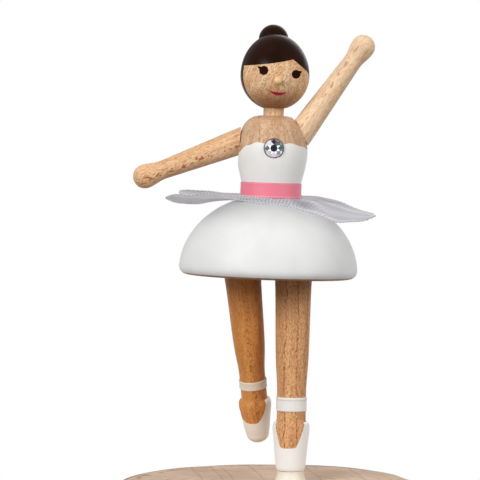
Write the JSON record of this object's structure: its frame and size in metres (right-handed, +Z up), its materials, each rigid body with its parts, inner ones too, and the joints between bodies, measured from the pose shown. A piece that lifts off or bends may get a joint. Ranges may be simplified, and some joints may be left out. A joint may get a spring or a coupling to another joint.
{
  "type": "ballerina jewellery box",
  "caption": "Turned wooden ballerina who spins on the lift-off lid of a log-shaped jewellery box, driven by a wind-up music movement under the tray.",
  "frame": {"origin": "middle of the underside of the box's felt ring, on the surface it stands on", "axes": "+Z up along the turning axis, the dancer faces -Y, their raised arm is on the +X side"},
  "size_m": [0.099, 0.0952, 0.2229],
  "materials": {
    "log_wood": "sanded, unvarnished, with growth rings",
    "floor_wood": "plain sanded sheet",
    "beech": "oiled beech, painted in parts",
    "white_painted_wood": "satin white paint",
    "dark_painted_wood": "satin dark brown paint",
    "white_ribbon": "satin ribbon",
    "pink_ribbon": "satin ribbon",
    "tutu_ribbon": "ribbed sheer ribbon",
    "rhinestone": "foil-backed, faceted",
    "felt": "felt",
    "velvet": "flocked velvet",
    "brass": "turned",
    "steel": "zinc-plated or bright"
  },
  "bodies": {
    "box": {"felt_ring": "felt", "box_wall": "log_wood", "movement_floor": "floor_wood", "tray_floor": "floor_wood", "velvet_lining": "velvet", "shaft_tube": "brass", "bedplate": "steel", "bearing_plate": "steel", "governor_plate": "steel", "cylinder_post": "steel", "comb_block": "steel", "comb": "steel", "comb_screws": "steel", "movement_screws": "steel"},
    "lid": {"lid_slice": "log_wood", "spindle_bush": "brass"},
    "ballerina": {"drive_spindle": "steel", "foot_collar": "white_painted_wood", "standing_leg": "beech", "raised_leg": "beech", "standing_ankle_ribbon": "white_ribbon", "raised_ankle_ribbon": "white_ribbon", "skirt": "white_painted_wood", "spine_dowel": "beech", "tutu_ribbon_front": "tutu_ribbon", "tutu_ribbon_back": "tutu_ribbon", "torso": "beech", "waist_ribbon": "pink_ribbon", "rhinestone": "rhinestone", "neck_dowel": "beech"},
    "head": {"head": "beech", "bun": "dark_painted_wood", "nose": "beech"},
    "raised_arm": {"raised_arm": "beech", "raised_arm_peg": "beech"},
    "lowered_arm": {"lowered_arm": "beech", "lowered_arm_peg": "beech"},
    "barrel": {"spring_barrel": "brass", "barrel_cover": "brass", "mainspring": "steel", "output_shaft": "steel"},
    "key": {"winding_arbor": "steel", "winding_key": "steel"},
    "cylinder": {"pinned_drum": "brass", "cylinder_pinion": "brass", "cylinder_wheel": "brass", "cylinder_arbor": "steel"},
    "governor": {"second_pinion": "brass", "second_wheel": "brass", "second_arbor": "steel"},
    "fly": {"fly_pinion": "brass", "fly_arbor": "steel", "fly_blades": "steel"}
  },
  "joints": [
    {"name": "lid_lift", "type": "slide", "parent": "box", "child": "lid", "axis": [0, 0, 1], "range_m": [0, 0.06]},
    {"name": "barrel_spin", "type": "hinge", "parent": "box", "child": "barrel", "pos_m": [0.0075, 0, 0.03], "axis": [0, 0, 1], "continuous": true},
    {"name": "ballerina_spin", "type": "hinge", "parent": "lid", "child": "ballerina", "pos_m": [0.0075, 0, 0.06], "axis": [0, 0, 1], "continuous": true},
    {"name": "cylinder_spin", "type": "hinge", "parent": "box", "child": "cylinder", "pos_m": [-0.02, 0, 0.02575], "axis": [1, 0, 0], "continuous": true},
    {"name": "governor_spin", "type": "hinge", "parent": "box", "child": "governor", "pos_m": [-0.032, 0.0055, 0.03008], "axis": [1, 0, 0], "continuous": true},
    {"name": "fly_spin", "type": "hinge", "parent": "box", "child": "fly", "pos_m": [-0.025, 0.0125, 0.03008], "axis": [1, 0, 0], "continuous": true},
    {"name": "key_wind", "type": "hinge", "parent": "box", "child": "key", "pos_m": [0.0075, 0, 0.006], "axis": [0, 0, 1], "continuous": true},
    {"name": "head_turn", "type": "hinge", "parent": "ballerina", "child": "head", "pos_m": [0.0019, 0, 0.19484], "axis": [0.0349, 0, 0.9994], "continuous": true},
    {"name": "raised_arm_turn", "type": "hinge", "parent": "ballerina", "child": "raised_arm", "pos_m": [0.01095, 0, 0.18661], "axis": [0.8729, 0, 0.4879], "continuous": true},
    {"name": "lowered_arm_turn", "type": "hinge", "parent": "ballerina", "child": "lowered_arm", "pos_m": [-0.00937, 0, 0.18389], "axis": [-0.9966, 0, 0.0819], "continuous": true}
  ],
  "couplings": [
    {"joint": "ballerina_spin", "follows": "barrel_spin", "ratio": 1},
    {"joint": "cylinder_spin", "follows": "barrel_spin", "ratio": -5},
    {"joint": "governor_spin", "follows": "barrel_spin", "ratio": 15},
    {"joint": "fly_spin", "follows": "barrel_spin", "ratio": -45}
  ]
}
